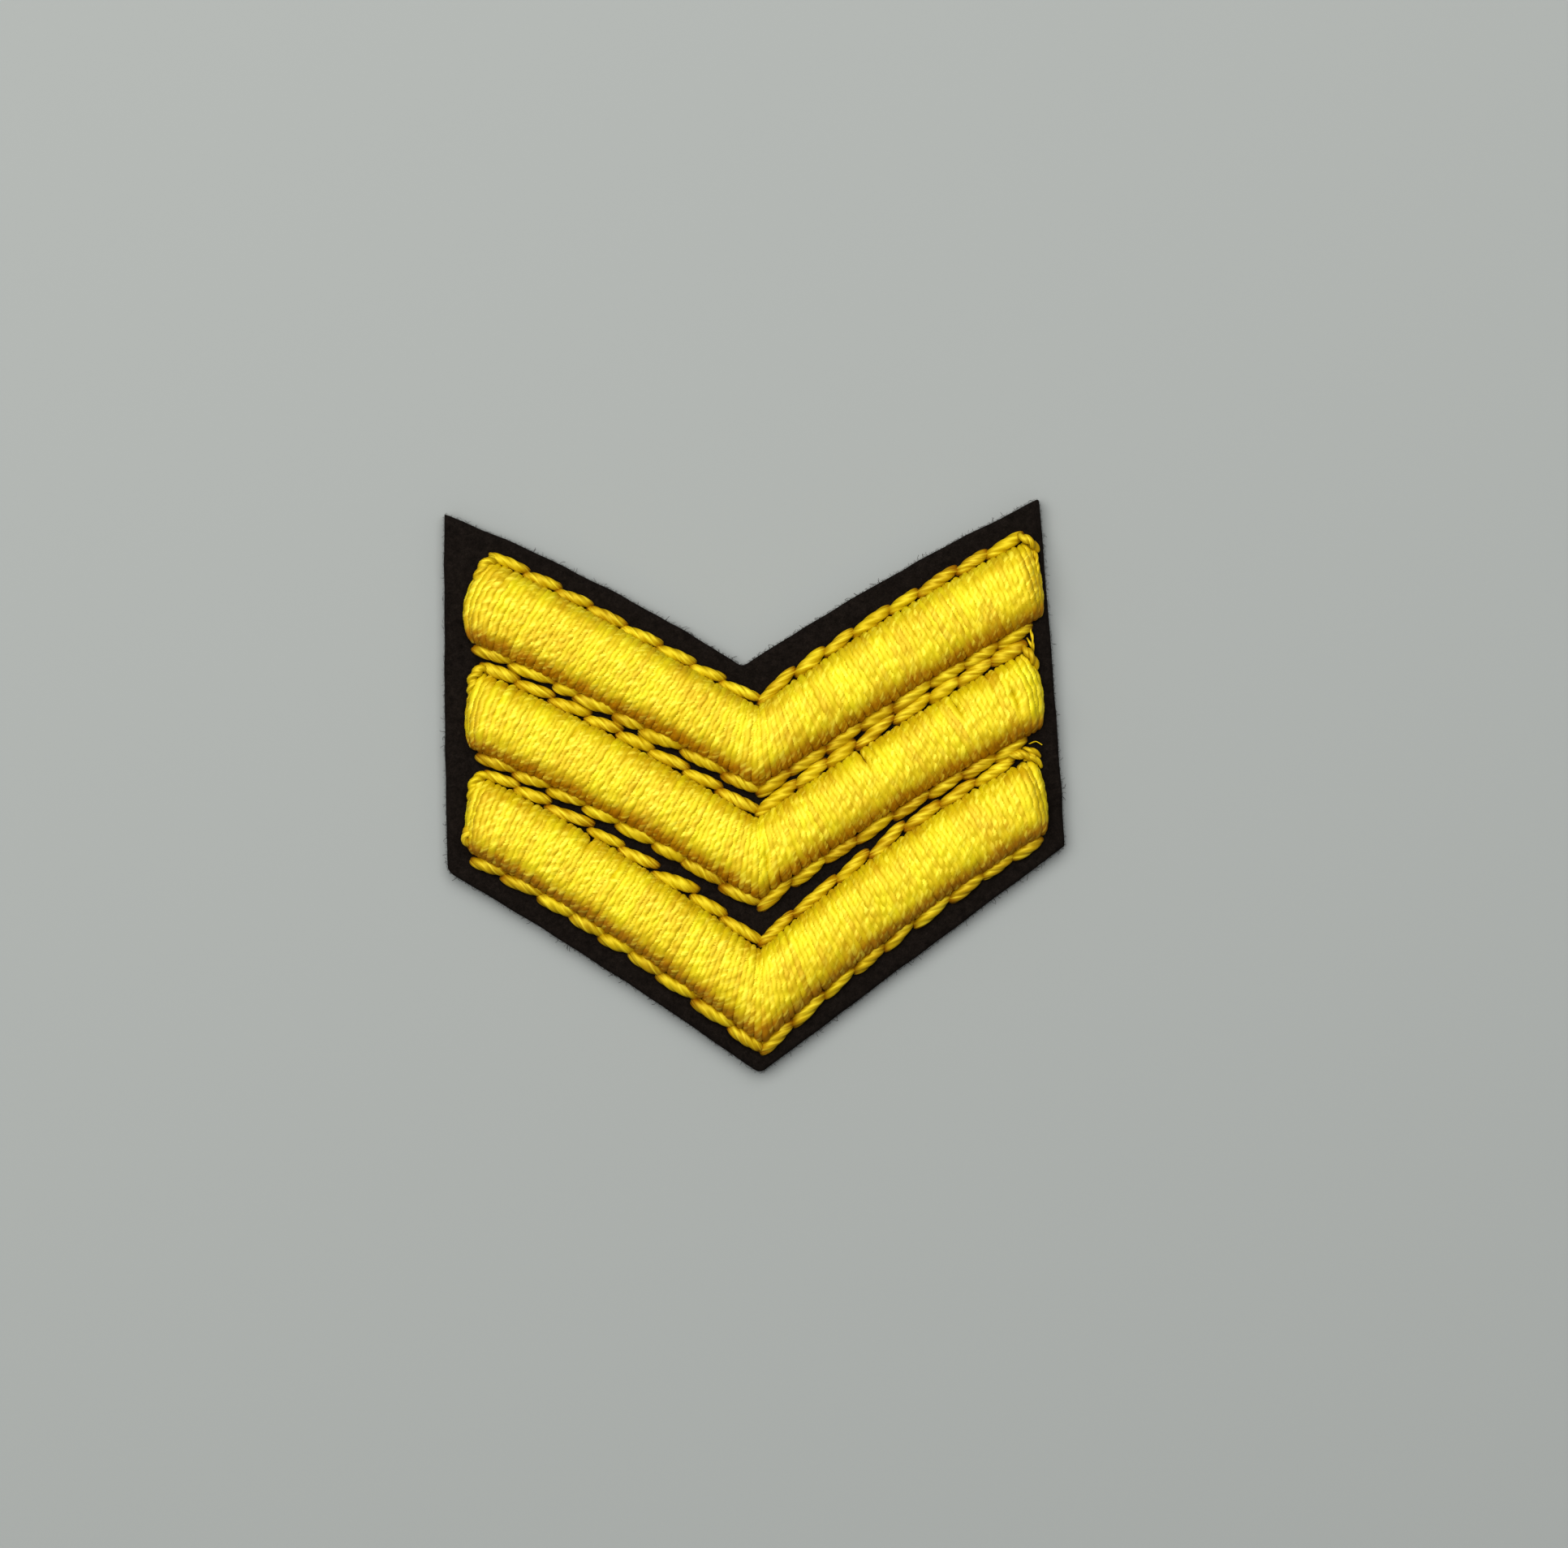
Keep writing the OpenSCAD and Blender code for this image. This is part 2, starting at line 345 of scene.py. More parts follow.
    # twist: its start and its pitch differ from thread to thread
    start = addNode(tree, "FunctionNodeRandomValue",
                    {"Min": 0.0, "Max": math.tau, "ID": thread, "Seed": given["Seed"]}, data_type="FLOAT")
    less = addNode(tree, "ShaderNodeMath", {0: 1.0, 1: given["Pitch Variation"]}, operation="SUBTRACT")
    more = addNode(tree, "ShaderNodeMath", {0: 1.0, 1: given["Pitch Variation"]}, operation="ADD")
    otherSeed = addNode(tree, "ShaderNodeMath", {0: given["Seed"], 1: 1.0}, operation="ADD")
    vary = addNode(tree, "FunctionNodeRandomValue",
                   {"Min": less, "Max": more, "ID": thread, "Seed": otherSeed}, data_type="FLOAT")
    pitch = addNode(tree, "ShaderNodeMath", {0: given["Twist Pitch"], 1: vary}, operation="MULTIPLY")
    turns = addNode(tree, "ShaderNodeMath", {0: along["Length"], 1: pitch}, operation="DIVIDE")
    turned = addNode(tree, "ShaderNodeMath", {0: turns, 1: math.tau, 2: start}, operation="MULTIPLY_ADD")
    twisted = addNode(tree, "GeometryNodeSetCurveTilt", {"Curve": wobbled, "Tilt": turned})

    # width: full in the middle and narrow where the thread goes into the felt
    girth = addNode(tree, "GeometryNodeInputNamedAttribute", {"Name": "girth"}, data_type="FLOAT")
    halfTurn = addNode(tree, "ShaderNodeMath", {0: along["Factor"], 1: math.pi}, operation="MULTIPLY")
    arch = addNode(tree, "ShaderNodeMath", {0: halfTurn}, operation="SINE")
    belly = addNode(tree, "ShaderNodeMath", {0: arch, 1: 0.0}, operation="MAXIMUM")
    bellied = addNode(tree, "ShaderNodeMath", {0: belly, 1: given["End Taper"]}, operation="POWER")
    full = addNode(tree, "ShaderNodeMapRange",
                   {"Value": bellied, "To Min": given["End Width"], "To Max": 1.0})
    own = addNode(tree, "ShaderNodeMath", {0: girth, 1: given["Width"]}, operation="MULTIPLY")
    width = addNode(tree, "ShaderNodeMath", {0: full, 1: own}, operation="MULTIPLY")

    # grain: length in mm, from a start of the thread's own, so that no two are alike
    ownStart = addNode(tree, "ShaderNodeMath", {0: thread, 1: 17.3}, operation="MULTIPLY")
    lengthMm = addNode(tree, "ShaderNodeMath",
                       {0: along["Length"], 1: 1 / mm, 2: ownStart}, operation="MULTIPLY_ADD")
    measured = addNode(tree, "GeometryNodeStoreNamedAttribute",
                       {"Geometry": twisted, "Name": "along", "Value": lengthMm}, data_type="FLOAT")
    body = addNode(tree, "GeometryNodeCurveToMesh",
                   {"Curve": measured, "Profile Curve": section, "Scale": width, "Fill Caps": True})
    soft = addNode(tree, "GeometryNodeSetShadeSmooth", {"Geometry": body})
    real = addNode(tree, "GeometryNodeRealizeInstances", {"Geometry": soft})
    painted = addNode(tree, "GeometryNodeSetMaterial", {"Geometry": real, "Material": given["Material"]})
    addNode(tree, "NodeGroupOutput", {"Threads": painted})
    return tree


def pathObject(name, paths):
    # each path is (points in mm, their tones, share of the width), and its number sets its random values
    vertices, edges, tones, girths, numbers = [], [], [], [], []
    for number, (points, pathTones, girth) in enumerate(paths):
        first = len(vertices)
        vertices += [Vector(p) * mm for p in points]
        edges += [(first + i, first + i + 1) for i in range(len(points) - 1)]
        tones += pathTones
        girths += [girth] * len(points)
        numbers += [number] * len(points)
    mesh = bpy.data.meshes.new(name)
    mesh.from_pydata(vertices, edges, [])
    mesh.attributes.new("tone", "FLOAT", "POINT").data.foreach_set("value", tones)
    mesh.attributes.new("girth", "FLOAT", "POINT").data.foreach_set("value", girths)
    mesh.attributes.new("thread", "INT", "POINT").data.foreach_set("value", numbers)
    return linkObject(name, mesh)


def grownPiece(name, source, tree, values):
    # runs a tree on an object and keeps its result as a plain mesh
    modifier = source.modifiers.new("grown", "NODES")
    modifier.node_group = tree
    for item in tree.interface.items_tree:
        if item.item_type == "SOCKET" and item.in_out == "INPUT" and item.name in values:
            modifier[item.identifier] = values[item.name]
    graph = bpy.context.evaluated_depsgraph_get()
    grown = source.evaluated_get(graph)
    mesh = bpy.data.meshes.new_from_object(grown, preserve_all_data_layers=True, depsgraph=graph)
    source.modifiers.remove(modifier)
    mesh.name = name
    piece = linkObject(name, mesh)
    print(f"{name}: {sum(len(p.vertices) - 2 for p in mesh.polygons)} triangles")
    return piece


def yarnMaterial(name, look):
    # twisted rayon embroidery yarn: deep gold dye, a silky lustre that is stronger than bare rayon's (1.54)
    # because its filaments are bright and flat, and filaments that run with the twist of each ply;
    # they are 0.02 mm thick, too fine to show, so the grain is drawn coarser
    material, tree, shader = newMaterial(name, look["roughness"])
    tone = addNode(tree, "ShaderNodeAttribute", attribute_name="tone").outputs["Fac"]
    around = addNode(tree, "ShaderNodeAttribute", attribute_name="around").outputs["Vector"]
    along = addNode(tree, "ShaderNodeAttribute", attribute_name="along").outputs["Fac"]
    axes = addNode(tree, "ShaderNodeSeparateXYZ", {0: around}).outputs
    place = addNode(tree, "ShaderNodeCombineXYZ", {
        "X": addNode(tree, "ShaderNodeMath", {0: axes["X"], 1: look["acrossGrain"]}, operation="MULTIPLY"),
        "Y": addNode(tree, "ShaderNodeMath", {0: axes["Y"], 1: look["acrossGrain"]}, operation="MULTIPLY"),
        "Z": addNode(tree, "ShaderNodeMath", {0: along, 1: look["alongGrain"]}, operation="MULTIPLY"),
    })
    fibres = addNode(tree, "ShaderNodeTexNoise", {"Vector": place, "Scale": 1.0, "Detail": 1.5})
    onPiece = addNode(tree, "ShaderNodeTexCoord").outputs["Object"]
    patches = addNode(tree, "ShaderNodeTexNoise",
                      {"Vector": onPiece, "Scale": 1 / (look["patchSize"] * mm), "Detail": 1.0})
    toned = addNode(tree, "ShaderNodeMath", {0: patches, 1: look["patchTone"], 2: tone},
                    operation="MULTIPLY_ADD")
    shade = addNode(tree, "ShaderNodeMapRange", {"Value": toned, "From Min": 0.3, "From Max": 1.5})
    dyed = addNode(tree, "ShaderNodeMix", {
        "Factor": shade, "A": linearColour(look["dark"]), "B": linearColour(look["light"]),
    }, data_type="RGBA")
    # painted highlight: the dyed gold is mixed towards a pale colour where the grain is high
    glintFrom, glintFull = look["paintedGlintBand"]
    paintedGlint = addNode(tree, "ShaderNodeMapRange", {
        "Value": fibres, "From Min": glintFrom, "From Max": glintFull, "To Max": look["paintedGlintShare"],
    })
    colourAndBump(tree, shader, paintedGlint, dyed.outputs[2], linearColour(look["paintedGlint"]),
                  fibres, 0.2, look["grainDepth"])
    shader.inputs["IOR"].default_value = look["lustre"]
    shader.inputs["Specular IOR Level"].default_value = 1.0
    shader.inputs["Specular Tint"].default_value = linearColour(look["lustreColour"])
    return material


# Felt backing

feltLook = {
    # in mm
    "spacing": 0.5,        # between the points of its mesh
    "rounding": 0.25,      # soft edge of the cut
    "roundingSteps": (0.15, 0.45, 1.0),    # shares of the rounding where its mesh has points
    "backRounding": 0.6,   # share of the rounding that the back edge has
    "cutSteps": (0.33, 0.66),              # shares of the way down the cut where its mesh has points
    "cutUnevenness": 0.06,
    "cutBumps": 0.9,       # bumps on each mm along the cut
    "wander": 0.07,        # how far the cut strays from its line
    "wanderLength": 2.5,
    "pull": 0.16,          # how far the outline stitches pull it in
    "pullReach": 0.5,
    "unevenness": 0.05,    # how far its face rises and sinks
    "unevenLength": 3,
    "coveredInset": 0.9,   # felt that lies farther than this inside a chevron grows no fuzz
    "coveredWidth": 38,
    "faceFuzz": 0.12,      # fuzz on the face, as a share of that at the cut
    "tufts": 0.45, "fibres": 0.12,         # across those that mottle it
    "dark": "#171311", "light": "#2e2825", "fuzz": "#332e2a",
}


def feltMaterial(name, dark, light):
    # pressed black wool and acrylic felt: matt, and mottled by tufts of matted fibres;
    # the fibres are 0.03 mm thick, too fine to show, so they are drawn coarser
    material, tree, shader = newMaterial(name, 1.0)
    place = addNode(tree, "ShaderNodeTexCoord").outputs["Object"]
    tufts = addNode(tree, "ShaderNodeTexNoise", {
        "Vector": place, "Scale": 1 / (feltLook["tufts"] * mm), "Detail": 4.0, "Roughness": 0.65,
    })
    fibres = addNode(tree, "ShaderNodeTexNoise", {
        "Vector": place, "Scale": 1 / (feltLook["fibres"] * mm), "Detail": 3.0, "Distortion": 1.5,
    })
    both = addNode(tree, "ShaderNodeMath", {0: tufts, 1: fibres}, operation="MULTIPLY")
    spread = addNode(tree, "ShaderNodeMapRange", {"Value": both, "From Min": 0.12, "From Max": 0.42})
    colourAndBump(tree, shader, spread, linearColour(dark), linearColour(light), both, 0.8, 0.12)
    shader.inputs["Specular IOR Level"].default_value = 0.12
    return material


def feltOutline():
    corners = patch["feltCorners"]
    count = len(corners)
    edges = []
    for i, (x, y, blunt, bow) in enumerate(corners):
        nextX, nextY, nextBlunt, _ = corners[(i + 1) % count]
        start, run = Vector((x, y)), Vector((nextX - x, nextY - y))
        outward = Vector((-run.y, run.x)).normalized()
        first, last = blunt / run.length, 1 - nextBlunt / run.length
        steps = round(run.length * (last - first) / feltLook["spacing"])
        shares = [mix(first, last, j / steps) for j in range(steps + 1)]
        edges.append([start + run * t + outward * 4 * bow * t * (1 - t) for t in shares])
    outline = []
    for i, edge in enumerate(edges):
        corner = Vector(corners[(i + 1) % count][:2])
        a, b = edge[-1], edges[(i + 1) % count][0]
        outline += edge + [a.lerp(corner, t).lerp(corner.lerp(b, t), t) for t in (1 / 3, 2 / 3)]
    strayed = []
    for i, p in enumerate(outline):
        run = outline[(i + 1) % len(outline)] - outline[i - 1]
        stray = noise.noise(Vector((p.x, p.y, 0)) / feltLook["wanderLength"]) * feltLook["wander"]
        strayed.append(p + Vector((-run.y, run.x)).normalized() * stray)
    return strayed


def insideAndFar(points, loop):
    # for each point: whether it is inside the loop, and how far it is from it
    a, b = loop, np.roll(loop, -1, axis=0)
    run = b - a
    gap = points[:, None, :] - a[None]
    t = np.clip((gap * run).sum(2) / (run * run).sum(1), 0, 1)
    far = np.linalg.norm(gap - t[..., None] * run, axis=2).min(1)
    over = (a[None, :, 1] > points[:, None, 1]) != (b[None, :, 1] > points[:, None, 1])
    rise = np.where(run[:, 1] == 0, 1, run[:, 1])
    crossing = a[:, 0] + (points[:, None, 1] - a[:, 1]) * run[:, 0] / rise
    return (over & (points[:, None, 0] < crossing)).sum(1) % 2 == 1, far


def feltPoints(loop, inward):
    # an even grid inside the cut, and lines of points along its rounding; points nearer to the cut
    # than their least distance are left out, where the grid or a sharp corner would crowd the lines
    step, rounding = feltLook["spacing"], feltLook["rounding"]
    low, high = loop.min(0), loop.max(0)
    columns = np.arange(low[0], high[0], step)
    rows = np.arange(low[1], high[1], step * math.sqrt(0.75))
    grid = [(x + (i % 2) * step / 2, y) for i, y in enumerate(rows) for x in columns]
    points, least = [np.array(grid)], [np.full(len(grid), rounding * 1.5)]
    for share in feltLook["roundingSteps"]:
        points.append(loop + inward * rounding * share)
        least.append(np.full(len(loop), rounding * share * 0.8))
    points = np.concatenate(points)
    inside, far = insideAndFar(points, loop)
    return points[inside & (far > np.concatenate(least))]


def feltFace(place, gap):
    # height of the face at a place, how far it is rounded off there, and its share of fuzz
    rounding = feltLook["rounding"]
    drop = rounding - math.sqrt(max(0, rounding ** 2 - max(0, rounding - gap) ** 2))
    dip = 0
    covered = False
    for k, seam in enumerate(patch["seams"]):
        away = (place.y - seamY(seam, place.x)) / math.hypot(1, seamSlope(seam, place.x))
        if seam[1][0] < place.x < seam[3][0]:
            dip = max(dip, math.exp(-(away / feltLook["pullReach"]) ** 2))
        if k % 2 == 0:
            fromUpper = away
        elif fromUpper < -feltLook["coveredInset"] and away > feltLook["coveredInset"]:
            covered = covered or abs(place.x) < feltLook["coveredWidth"] / 2
    wave = noise.noise(Vector((place.x, place.y, 5)) / feltLook["unevenLength"]) * feltLook["unevenness"]
    height = feltTop - drop - dip * feltLook["pull"] + wave * min(1, gap)
    # the fuzz thins out from 0.3 to 0.8 mm inside the cut
    fuzz = 0.0 if covered else mix(feltLook["faceFuzz"], 1, smooth(1.6 - gap / 0.5))
    return height, drop, fuzz


def feltMesh():
    loop = np.array([p[:] for p in feltOutline()])
    run = np.roll(loop, -1, axis=0) - np.roll(loop, 1, axis=0)
    inward = np.stack([run[:, 1], -run[:, 0]], 1) / np.linalg.norm(run, axis=1)[:, None]
    flat = [Vector(p) for p in np.concatenate([loop, feltPoints(loop, inward)])]
    edges = [(i, (i + 1) % len(loop)) for i in range(len(loop))]
    places, _, faces, origins, _, _ = geometry.delaunay_2d_cdt(flat, edges, [], 1, 1e-6)
    far = insideAndFar(np.array([p[:] for p in places]), loop)[1]
    top, bottom, bare = [], [], []
    for place, gap in zip(places, far):
        height, drop, fuzz = feltFace(place, gap)
        top.append(Vector((place.x * grow, place.y * grow, height)) * mm)
        bottom.append(Vector((place.x * grow, place.y * grow, drop * feltLook["backRounding"])) * mm)
        bare.append(fuzz)
    count = len(places)
    vertices = top + bottom
    bare += [0.0] * count
    polygons = [tuple(f) for f in faces] + [tuple(i + count for i in reversed(f)) for f in faces]

    # the cut, from the face down to the back
    rim = {origin: i for i, found in enumerate(origins) for origin in found if origin < len(loop)}
    ring = [rim[i] for i in range(len(loop))]
    layers = [ring]
    for share in feltLook["cutSteps"]:
        first = len(vertices)
        for j, i in enumerate(ring):
            swell = noise.noise(Vector((loop[j][0], loop[j][1], share * 9)) * feltLook["cutBumps"])
            out = -inward[j] * swell * feltLook["cutUnevenness"] * mm
            vertices.append(top[i].lerp(bottom[i], share) + Vector((out[0], out[1], 0)))
        bare += [1.0] * len(ring)
        layers.append(list(range(first, first + len(ring))))
    layers.append([i + count for i in ring])
    for upper, lower in zip(layers, layers[1:]):
        for j in range(len(ring)):
            n = (j + 1) % len(ring)
            polygons.append((upper[j], upper[n], lower[n], lower[j]))
    mesh = bpy.data.meshes.new("felt")
    mesh.from_pydata(vertices, [], polygons)
    mesh.attributes.new("bare", "FLOAT", "POINT").data.foreach_set("value", bare)
    mesh.shade_smooth()
    mesh.materials.append(feltMaterial("pressedFelt", feltLook["dark"], feltLook["light"]))
    return mesh


felt = linkObject("felt", feltMesh())
print("felt:", len(felt.data.polygons), "faces")


# Fuzz of the felt

fuzzLook = {
    "Density": 3e7,        # fibres on a square metre, at the cut edge
    "Length": 0.22 * mm,
    "Extra Length": 1.5,   # how much longer the few longest are, in lengths
    "Thickness": 0.013 * mm,
    "Seed": 5,
}


def fuzzTree():
    tree, given = newTree("feltFuzz", [
        ("Felt", "NodeSocketGeometry", None),
        ("Density", "NodeSocketFloat", 5e6),
        ("Length", "NodeSocketFloat", 0.0004),
        ("Extra Length", "NodeSocketFloat", 1.5),
        ("Thickness", "NodeSocketFloat", 0.00002),
        ("Seed", "NodeSocketInt", 1),
        ("Material", "NodeSocketMaterial", None),
    ], "Fuzz")
    bare = addNode(tree, "GeometryNodeInputNamedAttribute", {"Name": "bare"}, data_type="FLOAT")
    thick = addNode(tree, "ShaderNodeMath", {0: bare, 1: given["Density"]}, operation="MULTIPLY")
    roots = addNode(tree, "GeometryNodeDistributePointsOnFaces",
                    {"Mesh": given["Felt"], "Density": thick, "Seed": given["Seed"]})
    # one bent fibre, a unit long, that leans over as it leaves the felt
    bend = addNode(tree, "GeometryNodeCurveQuadraticBezier", {
        "Resolution": 2, "Start": (0, 0, -0.05), "Middle": (0.1, 0.15, 0.55), "End": (0.75, -0.1, 0.6),
    })
    wire = addNode(tree, "GeometryNodeCurvePrimitiveCircle", {"Resolution": 3, "Radius": 0.5})
    slim = addNode(tree, "ShaderNodeMath", {0: given["Thickness"], 1: given["Length"]}, operation="DIVIDE")
    fibre = addNode(tree, "GeometryNodeCurveToMesh",
                    {"Curve": bend, "Profile Curve": wire, "Scale": slim, "Fill Caps": True})
    # it leans by up to 0.7 radians more, any way round
    spin = addNode(tree, "FunctionNodeRandomValue", {
        "Min": (-0.7, -0.7, 0), "Max": (0.7, 0.7, math.tau), "Seed": given["Seed"],
    }, data_type="FLOAT_VECTOR")
    lean = addNode(tree, "FunctionNodeEulerToRotation", {"Euler": spin})
    turned = addNode(tree, "FunctionNodeRotateRotation",
                     {"Rotation": roots.outputs["Rotation"], "Rotate By": lean}, rotation_space="LOCAL")
    vary = addNode(tree, "FunctionNodeRandomValue", {"Min": 0.0, "Max": 1.0, "Seed": 3}, data_type="FLOAT")
    few = addNode(tree, "ShaderNodeMath", {0: vary, 1: 16.0}, operation="POWER")
    longer = addNode(tree, "ShaderNodeMath", {0: few, 1: given["Extra Length"], 2: 0.8},
                     operation="MULTIPLY_ADD")
    size = addNode(tree, "ShaderNodeMath", {0: longer, 1: given["Length"]}, operation="MULTIPLY")
    hairs = addNode(tree, "GeometryNodeInstanceOnPoints",
                    {"Points": roots, "Instance": fibre, "Rotation": turned, "Scale": size})
    real = addNode(tree, "GeometryNodeRealizeInstances", {"Geometry": hairs})
    # none goes through the surface that the felt lies on
    place = addNode(tree, "GeometryNodeInputPosition")
    axes = addNode(tree, "ShaderNodeSeparateXYZ", {0: place}).outputs
    lifted = addNode(tree, "ShaderNodeMath", {0: axes["Z"], 1: 0.02 * mm}, operation="MAXIMUM")
    kept = addNode(tree, "ShaderNodeCombineXYZ", {"X": axes["X"], "Y": axes["Y"], "Z": lifted})
    above = addNode(tree, "GeometryNodeSetPosition", {"Geometry": real, "Position": kept})
    painted = addNode(tree, "GeometryNodeSetMaterial", {"Geometry": above, "Material": given["Material"]})
    addNode(tree, "NodeGroupOutput", {"Fuzz": painted})
    return tree


fuzzSource = linkObject("fuzzSource", felt.data.copy())
feltFibre = feltMaterial("feltFibre", feltLook["light"], feltLook["fuzz"])
fuzz = grownPiece("felt_fuzz", fuzzSource, fuzzTree(), {**fuzzLook, "Material": feltFibre})
bpy.data.objects.remove(fuzzSource)


# Satin chevrons: padding with a thread beside thread over it

satinLook = {
    # how the threads lie, in mm
    "spacing": 0.34,       # from thread to thread along an arm
    "pathPoints": 29,
    "sink": 0.15,          # how far the threads' ends go into the felt
    "halfThread": 0.42,    # from the middle of a thread to its outside, as a share of its width
    "upperInset": 0.11,    # from the edges of the satin in to the middle of the threads' ends
    "lowerInset": -0.04,
    "pairing": 0.06,       # how far every second thread leans to share its neighbour's needle hole
    "stray": 0.03,         # how far a thread strays along the arm
    "unevenHeight": 0.015,
    "swell": 0.08,         # how far the padding under the threads swells and sinks
    "swellLength": 2.2,
    "endInset": 0.5,       # from the ends of the satin in to the middle of its last threads
    "closingDrop": 0.36,   # how far a closing thread lies below the last one, to hide the padding's end
    "fullness": 3.2,       # of a thread's arch, where 2 would be a half ellipse
    # places where neighbouring threads part: chevron, arm, share of the way out along it,
    # place across it (-1 upper edge, 1 lower), reach across it, width
    "partings": [
        (1, 1, 0.03, 0.1, 0.7, 0.36), (1, 1, 0.43, -0.7, 0.6, 0.52), (1, 1, 0.75, -0.6, 0.5, 0.5),
        (1, 1, 0.91, -0.1, 0.6, 0.48), (1, -1, 0.67, -0.5, 0.4, 0.32), (2, -1, 0.64, -0.9, 0.5, 0.45),
        (2, -1, 0.53, -0.5, 0.45, 0.4), (2, 1, 0.72, 0.8, 0.4, 0.4),
    ],
    "partingReach": 0.9,   # along the arm, over which the threads beside a parting crowd together
    "partingDepth": 3,     # how many times wider a parting is than it is deep
    # its gold, from dark at tone 0.3 to light at tone 1.5
    "dark": "#a77304", "light": "#d4ce1c",
    "toneRange": (0.35, 0.65),     # tones that single threads have
    "edgeShadeTone": (-0.03, 0.74),     # painted shade: how much deeper the gold is painted low down at the upper and lower edge, where the satin turns away from the light; below 0 it is painted lighter
    "edgeShadeReach": (0.5, 0.9),       # how far from the middle to the edges that starts, and where it is full
    "patchSize": 2.0, "patchTone": 0.8,    # mm across its lighter and deeper patches, and their tone
    "roughness": 0.48, "lustre": 1.8, "lustreColour": "#ffef7a",    # lustre is an index of refraction
    "acrossGrain": 0.9, "alongGrain": 0.9, "grainDepth": 0.03,      # grains per radius, per mm, and mm deep
    "paintedGlint": "#f6ec68", "paintedGlintShare": 0.45,    # painted highlight: pale where filaments would turn to the light
    "paintedGlintBand": (0.51, 0.71),     # values of the grain where the painted highlight starts, and where it is full
}
satinThread = {
    "Width": 0.96 * mm, "Plies": 2, "Ply Spread": 0.13, "Twist Pitch": 2.0 * mm, "Pitch Variation": 0.25,
    "Wobble": 0.016 * mm, "Wobble Length": 0.9 * mm, "End Width": 0.38, "End Taper": 0.5,
    "Rings": 52, "Sides": 10,
}


def partingShift(k, side, away, length, u):
    # how far a thread gives way along its arm, and how far it sinks, beside the partings of its chevron
    shift, sink = 0, 0
    for chevron, arm, place, across, reach, width in satinLook["partings"]:
        if (chevron, arm) == (k, side):
            gap = (away - place) * length
            near = math.exp(-abs(gap) / satinLook["partingReach"]) * smooth(1 - abs(u - across) / reach)
            shift += math.copysign(width / 2, gap) * near
            sink += width / satinLook["partingDepth"] * near
    return side * shift, sink


def satinPath(k, side, away, length, lean, drop, draw):
    # one thread over the padding, with both ends in the felt
    top, foot, height, bulge = satinLine(k, side, away)
    top.x += lean + draw.gauss(0, satinLook["stray"])
    foot.x -= lean - draw.gauss(0, satinLook["stray"])
    across = (foot - top).normalized()
    top += across * satinLook["upperInset"]
    foot -= across * satinLook["lowerInset"]
    outside = satinThread["Width"] / mm * satinLook["halfThread"]
    high = height - outside + draw.gauss(0, satinLook["unevenHeight"]) - drop
    base = feltTop - satinLook["sink"]
    points, tones = [], []
    tone = mix(*satinLook["toneRange"], draw.random())
    edgeStart, edgeFull = satinLook["edgeShadeReach"]
    for j in range(satinLook["pathPoints"]):
        u = -math.cos(math.pi * j / (satinLook["pathPoints"] - 1))
        point = domePoint(top, foot, bulge, u, base, high + satinLook["sink"], satinLook["fullness"])
        swell = noise.noise(Vector((point.x, point.y, 9)) / satinLook["swellLength"]) * satinLook["swell"]
        shift, sink = partingShift(k, side, away, length, u)
        # swell and sink die out towards the thread's ends
        points.append(point + Vector((shift, 0, (swell - sink) * (1 - u ** 4))))
        # painted shade: the tone drops towards the edges, deepest low on the lower edge
        deeper = satinLook["edgeShadeTone"][0 if u < 0 else 1]
        tones.append(tone - deeper * smooth((abs(u) - edgeStart) / (edgeFull - edgeStart)))
    return points, tones, 1


def satinPaths(k, draw):
    # out from the apex to the left end and to the right end, then a thread low round each end
    above, below = patch["seams"][2 * k], patch["seams"][2 * k + 1]
    apex, left, right = [(Vector(above[place]) + Vector(below[place])) / 2 for place in (0, 1, 3)]
    arms = [(-1, (left - apex).length), (1, (right - apex).length)]
    paths = []
    for side, length in arms:
        count = round(length / satinLook["spacing"])
        for i in range(count):
            away = (i + 0.5) / count * (1 - satinLook["endInset"] / length)
            lean = satinLook["pairing"] * (1 if i % 2 else -1)
            paths.append(satinPath(k, side, away, length, lean, 0, draw))
    for side, length in arms:
        away = 1 - satinLook["endInset"] / length
        paths.append(satinPath(k, side, away, length, 0, satinLook["closingDrop"], draw))
    return paths


paddingLook = {
    # in mm
    "inset": 0.3,          # from the edges of the satin in
    "below": 0.3,          # from the outside of the threads down
    "sink": 0.3,           # into the felt
    "steps": 24,           # sections along an arm, before those that close it
    "ends": (0.94, 0.955, 0.965),      # shares of an arm where its steps stop and where the last ones are
    "crownSteps": 16,
    "strands": 0.4,        # across those that mottle it
    # the satin's gold painted deeper, as painted shade below its threads
    "dark": "#9c780a", "light": "#bc9c16",
}


def paddingMaterial():
    # underlay stitches of the same yarn below the satin, seen only through gaps between its threads; their
    # gold is painted deeper than the satin's, as painted shade
    material, tree, shader = newMaterial("satinUnderlay", 0.8)
    place = addNode(tree, "ShaderNodeTexCoord").outputs["Object"]
    strands = addNode(tree, "ShaderNodeTexNoise",
                      {"Vector": place, "Scale": 1 / (paddingLook["strands"] * mm), "Detail": 3.0})
    dark, light = linearColour(paddingLook["dark"]), linearColour(paddingLook["light"])
    colourAndBump(tree, shader, strands, dark, light, strands, 0.6, 0.1)
    return material


